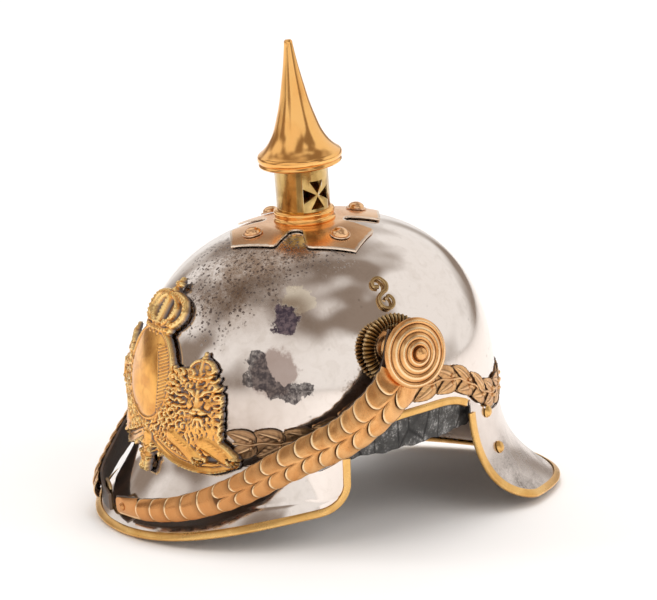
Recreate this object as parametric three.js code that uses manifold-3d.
// Spiked cavalry helmet: a steel skull with a front peak and a flared neck guard, bound in
// brass, with a gilt front plate, leaf bands, a spike on a cross-shaped base, and a chin strap
// of brass scales that hangs from a rosette on each side. Millimetres, +Z up, front towards -Y.
import * as THREE from 'three';
import { mergeVertices } from 'three/addons/utils/BufferGeometryUtils.js';
import Module from 'manifold-3d';

const wasm = await Module();
wasm.setup();

const { PI, abs, cos, sin, hypot, min, max, sign } = Math;
const rad = THREE.MathUtils.degToRad;
const lerp = THREE.MathUtils.lerp;
const smoothstep = THREE.MathUtils.smoothstep;
const V = (x, y, z) => new THREE.Vector3(x, y, z);

// ---------------------------------------------------------------- driving dimensions
const GAP = 0.35; // air left between two pieces that meet
const PITCH = rad(4.8); // how far the helmet leans forward when it stands on its rims
const skull = { a: 92, b: 109.5, top: 110, fullness: 2.5, wall: 1.2, edgeLow: -13.9 };
const arch = { lift: 23.5, angle: 10, spread: 27, power: 3.6 }; // the ear arch in the edge
const peak = { wall: 1.0, angle: 16, endY: -31, sideY: -50, halfWidth: 87, length: 90,
  round: 2.1, frontZ: -48, sideLift: 9, topZ: -8.5, lap: [-25, -29] };
const guard = { wall: 1.0, angle: 31, cornerAngle: 54, rimZ: -70, flare: 43, flareStart: -8,
  power: 2.1, overlap: 4.2 };
const trim = { depth: 3.7, leg: 0.6, slot: 0.4, fold: 1.0 };
const band = { halfWidth: 10, above: 14.8, frontRise: 4, offset: 0.4, sheet: 1.2, ridge: 0.3, leaves: 13,
  front: -52, rear: 89.6 };
const plate = { offset: 2.5, sheet: 1.5, relief: 3.2, reliefStart: 0.5 };
const crossBase = { offset: 0.45, sheet: 1.2, studRadius: 36, twist: rad(4.8) };
const tube = { radius: 15.7, wall: 0.9, z0: 110.1, ringRadius: 17.2, ringTop: 115.5, top: 143.2, ventZ: 127.5 };
const spike = { z0: 144.1, flangeRadius: 24.8, tip: 218, lean: rad(1.6) };
const boss = { x: 106.5, y: 7.2, z: 52, radius: 20.4, tilt: rad(7), turn: rad(3.5) }; // chin-strap rosette
const cockade = { x: 92.5, y: 3.0, z: 47, radius: 26, hole: 12, teeth: 34, thick: 2.6 };
const liner = { inset: 2.4, wall: 1.8, z0: -11.5, z1: 24, tuck: 3.5 };
const strap = { leather: 1.6, scaleSheet: 0.6, scales: 17, rise: 1.05, overlap: 1.5,
  scalesStart: 0.1, scalesEnd: 0.88, buckle: [14, 17] };

// ---------------------------------------------------------------- materials
const finish = (color, metalness, roughness) =>
  new THREE.MeshStandardMaterial({ color, metalness, roughness });
const steel = () => finish(0xd8d2cc, 1.0, 0.18);
const brass = () => finish(0xd9a04e, 1.0, 0.3);
const gilt = () => finish(0xc98f3c, 1.0, 0.35);
const bronze = () => finish(0x7d6434, 1.0, 0.45);
const leather = () => finish(0x2b211c, 0.0, 0.6);
const liningLeather = () => finish(0x5b5754, 0.0, 0.75);

const helmet = new THREE.Group(); // the helmet's own frame: skull axis up, band level at z = 0
function add(name, geometry, material) {
  const mesh = new THREE.Mesh(geometry, material);
  mesh.name = name;
  helmet.add(mesh);
  return mesh;
}

// ---------------------------------------------------------------- closed shapes
// A geometry from points and triangles, turned so that its faces point outwards.
function closedGeometry(points, triangles) {
  let volume = 0;
  for (const [i, j, k] of triangles) {
    volume += points[i].dot(points[j].clone().cross(points[k]));
  }
  const facing = volume < 0 ? triangles.map(([i, j, k]) => [i, k, j]) : triangles;
  const geometry = new THREE.BufferGeometry();
  geometry.setAttribute('position', new THREE.Float32BufferAttribute(
    points.flatMap((p) => [p.x, p.y, p.z]), 3));
  geometry.setIndex(facing.flat());
  geometry.computeVertexNormals();
  return geometry;
}

// A wall between an outer and an inner grid of points with equal rows. `around` joins the last
// column to the first; `pole` says that the first row is one point.
function sheet(outer, inner, { around = false, pole = false } = {}) {
  const rows = outer.length;
  const cols = outer[rows - 1].length;
  const points = [];
  const index = [outer, inner].map((grid) => grid.map((row, j) => {
    if (pole && j === 0) {
      points.push(row[0]);
      return Array(cols).fill(points.length - 1);
    }
    return row.map((p) => points.push(p) - 1);
  }));
  const triangles = [];
  const quad = (i, j, k, l) => {
    for (const t of [[i, j, k], [i, k, l]]) {
      if (new Set(t).size === 3) triangles.push(t);
    }
  };
  const [out, inn] = index;
  const last = around ? cols : cols - 1;
  for (let j = 0; j < rows - 1; j += 1) {
    for (let i = 0; i < last; i += 1) {
      const n = (i + 1) % cols;
      quad(out[j][i], out[j][n], out[j + 1][n], out[j + 1][i]);
      quad(inn[j][i], inn[j + 1][i], inn[j + 1][n], inn[j][n]);
    }
    if (!around) {
      quad(out[j][0], out[j + 1][0], inn[j + 1][0], inn[j][0]);
      quad(out[j][last], inn[j][last], inn[j + 1][last], out[j + 1][last]);
    }
  }
  for (let i = 0; i < last; i += 1) {
    const n = (i + 1) % cols;
    if (!pole) quad(out[0][i], inn[0][i], inn[0][n], out[0][n]);
    quad(out[rows - 1][i], out[rows - 1][n], inn[rows - 1][n], inn[rows - 1][i]);
  }
  return closedGeometry(points, triangles);
}

// A closed outline of [side, up] pairs carried along stations {at, side, up}, capped at the ends.
function carried(outline, stations) {
  const count = outline.length;
  const points = stations.flatMap(({ at, side, up }, j) => {
    const ring = typeof outline[0] === 'function' ? outline.map((f) => f(j)) : outline;
    return ring.map(([s, u]) => at.clone().addScaledVector(side, s).addScaledVector(up, u));
  });
  const first = typeof outline[0] === 'function' ? outline.map((f) => f(0)) : outline;
  const cap = THREE.ShapeUtils.triangulateShape(first.map(([s, u]) => new THREE.Vector2(s, u)), []);
  const end = (stations.length - 1) * count;
  const triangles = cap.map(([i, j, k]) => [i, k, j]);
  triangles.push(...cap.map(([i, j, k]) => [end + i, end + j, end + k]));
  const turn = THREE.ShapeUtils.isClockWise(first.map(([s, u]) => new THREE.Vector2(s, u)));
  for (let j = 0; j < stations.length - 1; j += 1) {
    for (let i = 0; i < count; i += 1) {
      const n = (i + 1) % count;
      const [p, q, r, s] = [j * count + i, j * count + n, (j + 1) * count + n, (j + 1) * count + i];
      const faces = [[p, q, r], [p, r, s]];
      triangles.push(...(turn ? faces.map(([f, g, h]) => [f, h, g]) : faces));
    }
  }
  return closedGeometry(points, triangles);
}

// Joins and cuts.
function toSolid(geometry) {
  const bare = geometry.clone();
  bare.deleteAttribute('normal');
  bare.deleteAttribute('uv');
  const merged = mergeVertices(bare, 1e-4);
  return new wasm.Manifold(new wasm.Mesh({
    numProp: 3,
    vertProperties: new Float32Array(merged.attributes.position.array),
    triVerts: new Uint32Array(merged.index.array),
  }));
}
function toGeometry(solid) {
  const { vertProperties, triVerts } = solid.getMesh();
  const geometry = new THREE.BufferGeometry();
  geometry.setAttribute('position', new THREE.BufferAttribute(vertProperties, 3));
  geometry.setIndex(new THREE.BufferAttribute(triVerts, 1));
  geometry.computeVertexNormals();
  return geometry;
}

// A turned piece: [radius, height] points that start and end on the axis, or close on themselves.
const turned = (profile, segments = 24) =>
  new THREE.LatheGeometry(profile.map(([r, h]) => new THREE.Vector2(r, h)), segments)
    .rotateX(PI / 2);

// Turns a geometry so that its +Z points along `axis`, and moves it to `at`.
function aim(geometry, axis, at) {
  const turn = new THREE.Quaternion().setFromUnitVectors(V(0, 0, 1), axis.clone().normalize());
  return geometry.applyQuaternion(turn).translate(at.x, at.y, at.z);
}

// ---------------------------------------------------------------- the skull's surface
// How far the skull's section has drawn in at height z: 1 at the band, 0 at the top.
const narrowing = (z) => (z <= 0 ? 1 : (1 - (z / skull.top) ** skull.fullness) ** (1 / skull.fullness));
const domeHeight = (x, y) => {
  const r = hypot(x / skull.a, y / skull.b);
  return skull.top * (1 - r ** skull.fullness) ** (1 / skull.fullness);
};
function skullNormal(p) {
  const r = hypot(p.x / skull.a, p.y / skull.b);
  const n = skull.fullness;
  if (r < 1e-6) return V(0, 0, 1);
  const inPlane = r ** (n - 2);
  const upward = p.z > 0 ? p.z ** (n - 1) / skull.top ** n : 0;
  return V(inPlane * p.x / skull.a ** 2, inPlane * p.y / skull.b ** 2, upward).normalize();
}
// A point of the skull at angle phi (0 = wearer's left, 90 = rear) and height z, `out` mm proud.
function onSkull(phi, z, out = 0) {
  const f = narrowing(min(z, skull.top));
  const p = V(skull.a * f * cos(phi), skull.b * f * sin(phi), z);
  return p.addScaledVector(skullNormal(p), out);
}
// Both sides of the helmet are alike: the angle as seen on the left side, in degrees.
const sideDegrees = (phi) => THREE.MathUtils.radToDeg(Math.atan2(sin(phi), abs(cos(phi))));
const skullEdge = (phi) => skull.edgeLow
  + arch.lift * Math.exp(-((abs(sideDegrees(phi) - arch.angle) / arch.spread) ** arch.power));

function skullShell() {
  const columns = 60;
  const grid = (out) => {
    const rows = [[V(0, 0, skull.top + out)]];
    const angles = [78, 66, 55, 45, 35.5, 26.5, 18, 10];
    const level = skull.top * sin(rad(10)) ** (2 / skull.fullness);
    for (const angle of angles) {
      const z = skull.top * sin(rad(angle)) ** (2 / skull.fullness);
      rows.push(ring((phi) => onSkull(phi, z, out)));
    }
    for (const part of [0.4, 0.75, 1]) {
      rows.push(ring((phi) => onSkull(phi, lerp(level, skullEdge(phi), part), out)));
    }
    return rows;
  };
  const ring = (place) => Array.from({ length: columns }, (_, i) => place(2 * PI * i / columns));
  return sheet(grid(0), grid(-skull.wall), { around: true, pole: true });
}
add('skull', skullShell(), steel());

// ---------------------------------------------------------------- bent sheets and bindings
// A surface is a function of two parameters. These read its slopes and its outward side.
function slopes(surface, a, b) {
  const step = 1e-3;
  const da = surface(a + step, b).sub(surface(a - step, b)).divideScalar(2 * step);
  const db = surface(a, b + step).sub(surface(a, b - step)).divideScalar(2 * step);
  const normal = da.clone().cross(db).normalize();
  const p = surface(a, b);
  if (normal.dot(V(p.x, p.y, 0)) < 0) normal.negate();
  return { da, db, normal };
}
// A bent sheet: `columns` is a list of parameter lists, one [a, b] for each row.
function bentSheet(surface, columns, wall) {
  const rows = columns[0].map((_, j) => columns.map((column) => column[j]));
  const outer = rows.map((row) => row.map(([a, b]) => surface(a, b)));
  const inner = rows.map((row) => row.map(([a, b]) =>
    surface(a, b).addScaledVector(slopes(surface, a, b).normal, -wall)));
  return sheet(outer, inner);
}
// A folded brass binding over the edge of a sheet, which runs through the list of [a, b].
function binding(surface, edge, wall) {
  const legIn = wall / 2 + trim.slot;
  const legOut = legIn + trim.leg;
  const outline = [[-legOut, -trim.depth], [-legOut, trim.fold * 0.3], [-legIn, trim.fold],
    [legIn, trim.fold], [legOut, trim.fold * 0.3], [legOut, -trim.depth], [legIn, -trim.depth],
    [legIn, trim.slot], [-legIn, trim.slot], [-legIn, -trim.depth]];
  const places = edge.map(([a, b]) => surface(a, b));
  const stations = edge.map(([a, b], i) => {
    const { da, db, normal } = slopes(surface, a, b);
    const along = places[min(i + 1, edge.length - 1)].clone().sub(places[max(i - 1, 0)]).normalize();
    const away = along.clone().cross(normal).normalize();
    if (away.z > 0) away.negate();
    // The legs lean the way the sheet goes over their own depth.
    const [g, h, k] = [da.dot(da), da.dot(db), db.dot(db)];
    const [u, v] = [-da.dot(away) * trim.depth, -db.dot(away) * trim.depth];
    const area = g * k - h * h;
    const within = surface(a + (k * u - h * v) / area, b + (g * v - h * u) / area);
    const up = places[i].clone().sub(within).normalize();
    const side = along.clone().cross(up).normalize();
    if (side.dot(normal) < 0) side.negate();
    const middle = places[i].clone().addScaledVector(normal, -wall / 2);
    return { at: middle, side, up };
  });
  return carried(outline, stations);
}

// ---------------------------------------------------------------- front peak
// side = -1..1 runs from the wearer's right end round the front to the left end; depth = 0 at
// the skull and 1 at the rim.
function peakRim(side) {
  const along = 1 - abs(side); // 0 at the end, 1 at the front
  const straight = 0.13;
  let x = peak.halfWidth;
  let y = lerp(peak.endY, peak.sideY, along / straight);
  if (along > straight) {
    const turn = PI / 2 * (along - straight) / (1 - straight);
    x = peak.halfWidth * cos(turn) ** (2 / peak.round);
    y = peak.sideY - peak.length * sin(turn) ** (2 / peak.round);
  }
  const front = peak.sideY - peak.length;
  const back = min(1, (y - front) / (peak.sideY - 7 - front));
  return V(sign(side) * x, y, peak.frontZ + peak.sideLift * sin(PI / 2 * max(back, 0)));
}
// The peak laps over the skull in front and hangs just below the arch trims at its ends.
const peakTop = (phi) => lerp(skullEdge(phi) - trim.fold - GAP - 0.2, peak.topZ,
  1 - smoothstep(sideDegrees(phi), peak.lap[1], peak.lap[0]));
function peakSurface(side, depth) {
  const phi = -PI / 2 + side * (PI / 2 - rad(peak.angle));
  const top = onSkull(phi, peakTop(phi), GAP + peak.wall);
  const rim = peakRim(side);
  const bend = top.clone().lerp(rim, 0.22);
  bend.z = lerp(top.z, rim.z, 0.45);
  return top.multiplyScalar((1 - depth) ** 2).addScaledVector(bend, 2 * depth * (1 - depth))
    .addScaledVector(rim, depth ** 2);
}
// The rounded rear corner: pairs of [side, deepest depth].
function peakOutline() {
  const cornerSide = 0.13;
  const straightDepth = 0.55;
  const corner = [0, 30, 60, 90].map((angle) =>
    [1 - cornerSide * (1 - cos(rad(angle))), lerp(straightDepth, 1, sin(rad(angle)))]);
  const front = [];
  for (let i = 1; i <= 11; i += 1) front.push([(1 - cornerSide) * (1 - i / 12), 1]);
  const half = [...corner, ...front];
  return [...half, [0, 1], ...half.map(([s, d]) => [-s, d]).reverse()];
}
const peakColumns = peakOutline().map(([side, deepest]) =>
  [0, 0.12, 0.3, 0.5, 0.75, 1].map((part) => [side, part * deepest]));
add('front_peak', bentSheet(peakSurface, peakColumns, peak.wall), steel());

function peakEdge() {
  const outline = peakOutline();
  const [side, deepest] = outline[0];
  const end = [0.14, 0.5].map((part) => [side, part * deepest]);
  return [...end, ...outline, ...end.map(([s, d]) => [-s, d]).reverse()];
}
add('peak_trim', binding(peakSurface, peakEdge(), peak.wall), brass());

// ---------------------------------------------------------------- neck guard
function guardSurface(phi, z) {
  const angle = sideDegrees(phi);
  const depth = max(0, guard.flareStart - z) / (guard.flareStart - guard.rimZ);
  const weight = 0.3 + 0.3 * smoothstep(angle, guard.angle, 52) + 0.32 * smoothstep(angle, 44, 88);
  const out = guard.flare * weight * depth ** guard.power;
  return onSkull(phi, z, GAP + guard.wall + out);
}
const guardTop = (phi) => skullEdge(phi) + guard.overlap;
const guardRim = (phi) => guard.rimZ + 6.5 * (1 - smoothstep(sideDegrees(phi), 40, 90)) ** 1.4;
// Pairs of [angle, lowest z] from the left front edge round the back to the right.
function guardOutline() {
  const first = rad(guard.angle);
  const turn = rad(guard.cornerAngle) - first;
  const half = [];
  for (let i = 0; i <= 6; i += 1) {
    const t = rad(8 + 82 * i / 6);
    const phi = first + turn * (1 - cos(t)) - turn * (1 - cos(rad(8)));
    half.push([phi, lerp(guardTop(phi), guardRim(phi), sin(t))]);
  }
  for (let i = 1; i <= 7; i += 1) {
    const phi = lerp(half[6][0], PI / 2, i / 8);
    half.push([phi, guardRim(phi)]);
  }
  return [...half, [PI / 2, guardRim(PI / 2)], ...half.map(([p, z]) => [PI - p, z]).reverse()];
}
const guardColumns = guardOutline().map(([phi, low]) =>
  [0, 0.18, 0.4, 0.6, 0.76, 0.89, 1].map((part) => [phi, lerp(guardTop(phi), low, part)]));
add('neck_guard', bentSheet(guardSurface, guardColumns, guard.wall), steel());

function guardEdge() {
  const outline = guardOutline();
  const [phi] = outline[0];
  const end = skullEdge(phi + rad(3)) - 2 * GAP; // just clear of the skull's edge
  return [[phi, end], ...outline, [PI - phi, end]];
}
add('neck_trim', binding(guardSurface, guardEdge(), guard.wall), brass());

// Domed rivets near the front edges of the neck guard, two a side.
function domedRivet(radius, height) {
  const dome = [[0, 0], [radius, 0], [radius, 0.5]];
  for (const t of [30, 60]) dome.push([radius * cos(rad(t)), 0.5 + height * sin(rad(t))]);
  return turned([...dome, [0, 0.5 + height]], 10);
}
for (const [name, degrees, z] of [['upper', 41.5, -7], ['lower', 46, -31.5]]) {
  for (const [hand, phi] of [['left', rad(degrees)], ['right', PI - rad(degrees)]]) {
    const { normal } = slopes(guardSurface, phi, z);
    const at = guardSurface(phi, z).addScaledVector(normal, GAP + 0.1);
    add(`neck_rivet_${name}_${hand}`, aim(domedRivet(3.6, 2.2), normal, at), brass());
  }
}

// ---------------------------------------------------------------- ear arch trims
for (const hand of ['left', 'right']) {
  const edge = [];
  for (let i = 0; i <= 16; i += 1) {
    const degrees = lerp(-24.5, guard.angle - 1.6, i / 16);
    const phi = hand === 'left' ? rad(degrees) : PI - rad(degrees);
    edge.push([phi, skullEdge(phi)]);
  }
  add(`arch_trim_${hand}`, binding((phi, z) => onSkull(phi, z), edge, skull.wall), brass());
}

// ---------------------------------------------------------------- leaf bands
// A pressed strip of paired leaves along the lower edge, from the front plate to the rear.
for (const hand of ['left', 'right']) {
  const stations = band.leaves * 3;
  const grid = (out) => [-1, 0, 1].map((edge) => Array.from({ length: stations + 1 }, (_, i) => {
    const degrees = lerp(band.front, band.rear, i / stations);
    const phi = hand === 'left' ? rad(degrees) : PI - rad(degrees);
    const tip = [0.84, 1, 0.94][i % 3]; // the leaf tips give the strip a toothed edge
    const middle = skullEdge(phi) + band.above + band.frontRise * (1 - smoothstep(degrees, -40, 5));
    return onSkull(phi, middle + edge * band.halfWidth * tip, out + (edge === 0 ? band.ridge : 0));
  }));
  add(`leaf_band_${hand}`, sheet(grid(band.offset + band.sheet), grid(band.offset)), gilt());
}

// ---------------------------------------------------------------- front plate
// A pierced and raised plate: a crown over an oval shield, a crowned lion on each side, and a
// blank ribbon below. Outlines are [across, height] as seen from the front.
const crownOutline = [[8, 61], [13, 65], [21, 69], [24, 75], [20, 81], [12, 84], [4, 85], [4.5, 91]];
const lionOutline = [[3, -7], [3, 12], [16, 40], [24, 44], [33, 46], [35, 54], [41, 59], [47, 58],
  [51, 52], [50, 46], [54, 42], [57, 32], [57, 14], [60, 4], [64, -3], [62, -8], [55, -8], [48, -12],
  [38, -12], [26, -8], [16, -9]];
const footOutline = [[5, 4], [6, -14], [3, -18]];
function frontPatch(low, high) {
  // Below the skull's edge the plate stands off, clear of the peak's upper edge.
  const clear = (z) => 6.5 * smoothstep(-z, -2, 24);
  const grid = (out) => Array.from({ length: 10 }, (_, j) => Array.from({ length: 13 }, (_unused, i) => {
    const z = lerp(95, -22, j / 9);
    return onSkull(rad(lerp(-142, -38, i / 12)), z, out + clear(z));
  }));
  return toSolid(sheet(grid(high), grid(low)));
}
function frontPrism(outline) {
  const shape = new THREE.Shape(outline.map(([x, z]) => new THREE.Vector2(x, z)));
  return toSolid(new THREE.ExtrudeGeometry(shape, { depth: 110, bevelEnabled: false, curveSegments: 6 })
    .rotateX(PI / 2).translate(0, -30, 0));
}
const bothHalves = (half) => [...half, ...half.map(([x, z]) => [-x, z]).reverse()];
const mirrored = (outline) => outline.map(([x, z]) => [-x, z]);
const oval = (x, z, rx, rz, count = 18) => Array.from({ length: count }, (_, i) =>
  [x + rx * cos(2 * PI * i / count), z + rz * sin(2 * PI * i / count)]);
function frontPlate() {
  const flat = [bothHalves(crownOutline), oval(0, 39, 23, 26), lionOutline, mirrored(lionOutline),
    bothHalves(footOutline)].map(frontPrism);
  const raised = [bothHalves(crownOutline.map(([x, z]) => [x * 0.85, lerp(75, z, 0.85)])),
    oval(0, 39, 20.5, 23.5), oval(42, 44, 8.5, 9, 10), oval(-42, 44, 8.5, 9, 10),
    oval(40, 18, 14, 19, 12), oval(-40, 18, 14, 19, 12)].map(frontPrism);
  const back = frontPatch(plate.offset, plate.offset + plate.sheet);
  const front = frontPatch(plate.offset + plate.reliefStart, plate.offset + plate.sheet + plate.relief);
  return toGeometry(back.intersect(wasm.Manifold.union(flat))
    .add(front.intersect(wasm.Manifold.union(raised))));
}
add('front_plate', frontPlate(), gilt());

// ---------------------------------------------------------------- spike and its base
// A square patch of shell over the top of the skull, between two offsets.
function domePatch(size, low, high) {
  const steps = 14;
  const grid = (out) => Array.from({ length: steps + 1 }, (_, j) =>
    Array.from({ length: steps + 1 }, (_unused, i) => {
      const [x, y] = [lerp(-size, size, i / steps), lerp(-size, size, j / steps)];
      const p = V(x, y, domeHeight(x, y));
      return p.addScaledVector(skullNormal(p), out);
    }));
  return toSolid(sheet(grid(high), grid(low)));
}
// One arm of the base, along +X: a narrow neck, round shoulders, then a pointed end.
const armSide = [[10, 8], [18, 14.5], [24, 16.5], [30, 20], [35, 22.8], [38.5, 21.5]];
const armOutline = [...armSide.map(([x, y]) => [x, -y]), [52, 0], ...armSide.toReversed()];
function crossBasePlate() {
  let arms = toSolid(new THREE.CylinderGeometry(21, 21, 40, 24).rotateX(PI / 2).translate(0, 0, 105));
  const outline = new THREE.Shape(armOutline.map(([x, y]) => new THREE.Vector2(x, y)));
  for (let i = 0; i < 4; i += 1) {
    const arm = new THREE.ExtrudeGeometry(outline, { depth: 40, bevelEnabled: false });
    arms = arms.add(toSolid(arm.translate(0, 0, 85).rotateZ(i * PI / 2 + crossBase.twist)));
  }
  const hole = toSolid(new THREE.CylinderGeometry(12, 12, 60, 20).rotateX(PI / 2).translate(0, 0, 105));
  const skin = domePatch(62, crossBase.offset, crossBase.offset + crossBase.sheet);
  return toGeometry(skin.intersect(arms).subtract(hole));
}
add('cross_base', crossBasePlate(), brass());

for (const [name, x, y] of [['left', 1, 0], ['rear', 0, 1], ['right', -1, 0], ['front', 0, -1]]) {
  const at = V(x, y, 0).multiplyScalar(crossBase.studRadius).applyAxisAngle(V(0, 0, 1), crossBase.twist);
  at.z = domeHeight(at.x, at.y);
  const axis = skullNormal(at);
  at.addScaledVector(axis, crossBase.offset + crossBase.sheet + GAP);
  const dome = turned([[0, 0], [6, 0], [6, 0.7], [4.7, 1], [3.4, 2.8], [0, 3.8]], 12);
  add(`base_stud_${name}`, aim(dome, axis, at), brass());
}

// The tube that carries the spike: a bright ring at its foot, and a cross cut through each side.
function ventedTube() {
  const { radius, wall, z0, ringRadius, ringTop, top } = tube;
  const base = z0 + crossBase.sheet + GAP;
  const profile = [[radius - wall, base], [ringRadius + 3.5, base], [ringRadius + 1.2, base + 1.4],
    [ringRadius, base + 3], [ringRadius, ringTop - 0.8], [ringRadius - 0.8, ringTop], [radius, ringTop],
    [radius, top], [radius - wall, top], [radius - wall, base]];
  let solid = toSolid(turned(profile, 24));
  for (let i = 0; i < 4; i += 1) {
    const wedge = new THREE.Shape();
    wedge.moveTo(1.0, 0.55);
    wedge.lineTo(8.2, 4.6);
    wedge.lineTo(8.2, -4.6);
    wedge.lineTo(1.0, -0.55);
    const cutter = new THREE.ExtrudeGeometry(wedge, { depth: 60, bevelEnabled: false });
    cutter.rotateZ(i * PI / 2).translate(0, 0, -30).rotateY(PI / 2).rotateZ(crossBase.twist).translate(0, 0, tube.ventZ);
    solid = solid.subtract(toSolid(cutter));
  }
  return toGeometry(solid);
}
add('spike_tube', ventedTube(), bronze());

function spikeProfile() {
  const { z0, flangeRadius: rim, tip } = spike;
  return [[0, z0 + 50], [3.6, z0 + 44], [7.6, z0 + 34], [12, z0 + 20.5], [17, z0 + 11.5],
    [rim - 2.4, z0 + 5], [rim - 2.4, z0 + 2], [13.5, z0 + 1.4], [13.5, z0], [rim - 1, z0 + 0.6], [rim, z0 + 2], [rim, z0 + 4.6],
    [rim - 2.8, z0 + 8], [17.9, z0 + 13], [14.4, z0 + 19], [11.2, z0 + 28], [8.8, z0 + 36.5],
    [6.9, z0 + 45], [4.4, z0 + 58], [2.6, tip - 4.5], [2.8, tip - 3], [2.4, tip - 0.9], [0, tip]];
}
const spikeMesh = add('spike', turned(spikeProfile(), 24).translate(0, 0, -spike.z0), brass());
spikeMesh.position.set(0, 0, spike.z0);
spikeMesh.rotation.x = spike.lean;

// ---------------------------------------------------------------- rosettes, cockades, hooks
const sides = [['left', 1], ['right', -1]];
for (const [hand, s] of sides) {
  const axis = V(s * cos(boss.turn), sin(boss.turn), Math.tan(boss.tilt));
  const r = boss.radius;
  const rings = [[0, 0], [r - 0.8, 0], [r, 0.8], [r, 1.8], [r - 2, 2.3], [r - 5, 3.3], [r - 8.8, 4.3],
    [r - 12.6, 5.4], [4, 6.2], [3.2, 8.4], [1.6, 9.4], [0, 9.6]];
  add(`rosette_${hand}`, aim(turned(rings, 22), axis, V(s * boss.x, boss.y, boss.z)), brass());
}

function toothedRing() {
  const { radius, hole, teeth, thick } = cockade;
  const outline = new THREE.Shape();
  for (let i = 0; i < teeth * 2; i += 1) {
    const r = i % 2 ? radius - 1.6 : radius;
    const t = PI * i / teeth;
    if (i === 0) outline.moveTo(r, 0);
    else outline.lineTo(r * cos(t), r * sin(t));
  }
  const opening = new THREE.Path();
  opening.absarc(0, 0, hole, 0, 2 * PI, true);
  outline.holes.push(opening);
  return new THREE.ExtrudeGeometry(outline, { depth: thick, bevelEnabled: false, curveSegments: 8 });
}
for (const [hand, s] of sides) {
  const axis = V(s * cos(rad(10)), 0, sin(rad(10)));
  add(`cockade_${hand}`, aim(toothedRing(), axis, V(s * cockade.x, cockade.y, cockade.z)), bronze());
}

// A scrolled hook above each cockade, on which the strap hangs when it isn't worn.
class HookCurve extends THREE.Curve {
  constructor(s) {
    super();
    const flat = [[9.5, 66], [9.0, 70.5], [6.8, 74.5], [4.0, 78.5], [4.6, 83.5], [8.8, 85.6],
      [11.6, 82.8], [10.2, 79.6]];
    this.path = new THREE.CatmullRomCurve3(flat.map(([y, z], i) => {
      const on = onSkull(s > 0 ? 0 : PI, z, 2.3 + 0.35 * i);
      return V(on.x, y, on.z);
    }));
  }

  getPoint(t, target = V(0, 0, 0)) {
    return target.copy(this.path.getPoint(t));
  }
}
for (const [hand, s] of sides) {
  const section = new THREE.Shape();
  section.absarc(0, 0, 1.15, 0, 2 * PI, false);
  add(`hook_${hand}`, new THREE.ExtrudeGeometry(section,
    { steps: 18, curveSegments: 3, extrudePath: new HookCurve(s) }), bronze());
}

// ---------------------------------------------------------------- chin strap
// The strap's middle line on each side, from under the rosette to the front of the peak. The
// left half stands off further than the right one.
const strapLines = {
  left: new THREE.CatmullRomCurve3([V(98.5, 10, 58), V(101.5, -1.8, 35.5), V(101.6, -17.6, 21),
    V(97, -36.5, 8.3), V(92.5, -54.5, 2), V(86, -73.5, -5.5), V(75.5, -94.5, -16), V(59, -115.5, -25),
    V(42, -127.5, -29.3), V(24, -135, -31.4), V(5, -139, -32.8)]),
  right: new THREE.CatmullRomCurve3([V(-98.5, 10, 58), V(-101.5, -2, 36), V(-100.5, -18, 23),
    V(-95.5, -36.5, 11), V(-89, -55, 3), V(-80, -74, -6), V(-69, -94, -16), V(-54, -113, -25),
    V(-38, -127.5, -30), V(-19, -136.5, -32.5), V(-1.5, -141, -33)]),
};
function strapFrame(hand, t) {
  const at = strapLines[hand].getPointAt(t);
  const along = strapLines[hand].getTangentAt(t);
  const out = V(at.x / skull.a ** 2, at.y / skull.b ** 2, 0);
  out.addScaledVector(along, -out.dot(along)).normalize();
  return { t, at, out, across: out.clone().cross(along).normalize() };
}
// Half the strap's width at a part t of the way from the rosette to the front.
const halfWidth = (t) => lerp(16.5, 5.6, t ** 0.75);
// A point of the strap: `across` from -1 to 1 and `out` mm outside the leather.
function onStrap(hand, t, across, out) {
  const frame = strapFrame(hand, t);
  return frame.at.addScaledVector(frame.across, across * halfWidth(t)).addScaledVector(frame.out, out);
}

for (const hand of ['left', 'right']) {
  const frames = Array.from({ length: 31 }, (_, i) => strapFrame(hand, i / 30));
  const corner = (across, out) => (j) => [across * (halfWidth(frames[j].t) - 0.6), out];
  const outline = [corner(-1, -strap.leather), corner(1, -strap.leather), corner(1, 0), corner(-1, 0)];
  add(`chin_strap_${hand}`, carried(outline,
    frames.map(({ at, across, out }) => ({ at, side: across, up: out }))), leather());
}

// A scale is a bowed plate whose far end has round lobes and rides over the next one's root.
const scalePitch = (strap.scalesEnd - strap.scalesStart) / strap.scales;
const lobeCount = (index) => (index < 11 ? 2 : 1);
const lobe = (index, across) => abs(sin(lobeCount(index) * PI * (across + 1) / 2)) ** 0.7;
const bowed = (index, across) => lerp(4.6, 2.2, index / strap.scales) * (1 - across ** 2);
function scale(hand, index) {
  const start = strap.scalesStart + index * scalePitch;
  const columns = 8;
  const grid = (drop) => [0, 0.5, 1].map((part) => Array.from({ length: columns + 1 }, (_, i) => {
    const across = 2 * i / columns - 1;
    const reach = part * strap.overlap * (0.78 + 0.22 * lobe(index, across));
    const rise = GAP + strap.scaleSheet + reach * strap.rise + bowed(index, across);
    return onStrap(hand, start + scalePitch * reach, across, rise - drop);
  }));
  return sheet(grid(0), grid(strap.scaleSheet));
}
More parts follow.
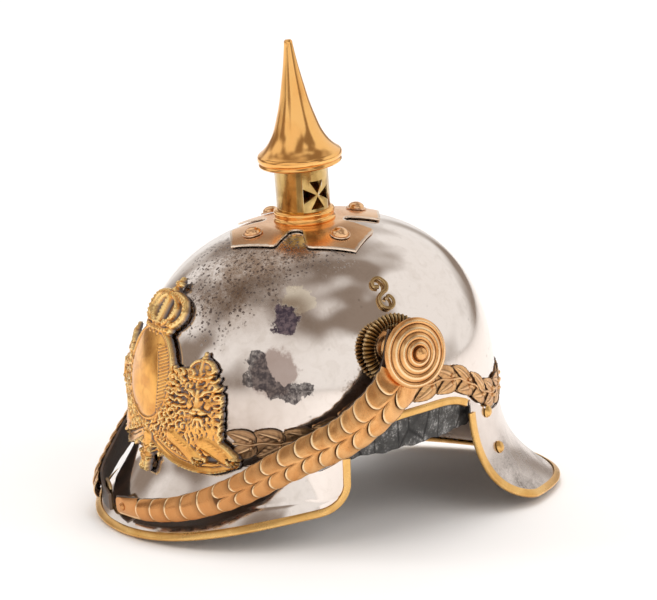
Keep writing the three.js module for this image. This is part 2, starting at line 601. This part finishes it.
// Scales joined along the strap in one stepped plate.
function scaleRun(hand, from, to) {
  const columns = 6;
  const step = 0.9 / strapLines[hand].getLength();
  const grid = (drop) => {
    const rows = [];
    for (let index = from; index < to; index += 1) {
      const start = strap.scalesStart + index * scalePitch;
      for (const [part, rise] of [[0, 0], [1, strap.rise]]) {
        rows.push(Array.from({ length: columns + 1 }, (_, i) => {
          const across = 2 * i / columns - 1;
          const back = drop && (part || index > from) ? step : 0;
          const cusp = 0.18 * (1 - lobe(index, across)) * (part || index > from ? 1 : 0);
          const t = start + scalePitch * (part - cusp) - back;
          return onStrap(hand, t, across, GAP + strap.scaleSheet + rise + bowed(index, across) - drop);
        }));
      }
    }
    return rows;
  };
  return sheet(grid(0), grid(strap.scaleSheet));
}
for (let i = 0; i < strap.scales; i += 1) {
  add(`chin_scale_left_${String(i + 1).padStart(2, '0')}`, scale('left', i), brass());
}
const runs = [0, 6, 12, strap.scales];
for (let i = 0; i < runs.length - 1; i += 1) {
  add(`chin_scales_right_${i + 1}`, scaleRun('right', runs[i] + (i ? 0.06 : 0), runs[i + 1]), brass());
}

// The plain brass tongue that ends the left half, held by a stud.
function tongue() {
  const [from, to] = [strap.scalesEnd + 0.035, 0.997];
  const grid = (out) => [0, 0.5, 0.86, 0.96, 1].map((part, j) => [-1, -0.5, 0, 0.5, 1].map((across) => {
    const round = [1, 0.98, 0.86, 0.6, 0.3][j];
    return onStrap('left', lerp(from, to, part), across * round * 0.98, out + 0.5 * (1 - across ** 2));
  }));
  return sheet(grid(GAP + 0.8), grid(GAP));
}
add('strap_tongue', tongue(), brass());
const studFrame = strapFrame('left', 0.965);
add('strap_stud', aim(domedRivet(2.4, 1.3), studFrame.out,
  studFrame.at.addScaledVector(studFrame.out, GAP * 2 + 1.3)), brass());

// The buckle at the end of the right half: a frame with a middle bar, inside the leather.
function buckleFrame() {
  const { at, out, across } = strapFrame('right', 0.935);
  const [width, height] = strap.buckle;
  const wire = 2.2;
  const opening = (width - 3 * wire) / 2;
  let solid = toSolid(new THREE.BoxGeometry(width, height, 1.6));
  for (const x of [-1, 1]) {
    const hole = new THREE.BoxGeometry(opening, height - 2 * wire, 4);
    solid = solid.subtract(toSolid(hole.translate(x * (opening + wire) / 2, 0, 0)));
  }
  const frame = toGeometry(solid);
  const along = across.clone().cross(out);
  frame.applyMatrix4(new THREE.Matrix4().makeBasis(along, across, out));
  const back = at.addScaledVector(out, -strap.leather - GAP - 1.6);
  return frame.translate(back.x, back.y, back.z);
}
add('strap_buckle', buckleFrame(), brass());

// ---------------------------------------------------------------- liner
// The leather band inside the skull, whose lower edge shows in the ear arches.
function linerBand() {
  const columns = 40;
  const grid = (inset) => [0, 0.5, 1].map((part) => Array.from({ length: columns }, (_, i) => {
    const z = lerp(liner.z1, liner.z0, part);
    return onSkull(2 * PI * i / columns, z, -skull.wall - inset - liner.tuck * part ** 2);
  }));
  return sheet(grid(liner.inset - 1), grid(liner.inset - 1 + liner.wall), { around: true });
}
add('liner', linerBand(), liningLeather());

// ---------------------------------------------------------------- standing on its rims
const stand = new THREE.Group();
helmet.rotation.x = PITCH;
stand.add(helmet);
stand.updateMatrixWorld(true);
const bounds = new THREE.Box3().setFromObject(stand, true);
stand.position.set(0, -(bounds.min.y + bounds.max.y) / 2, -bounds.min.z);
stand.updateMatrixWorld(true);

export default stand;
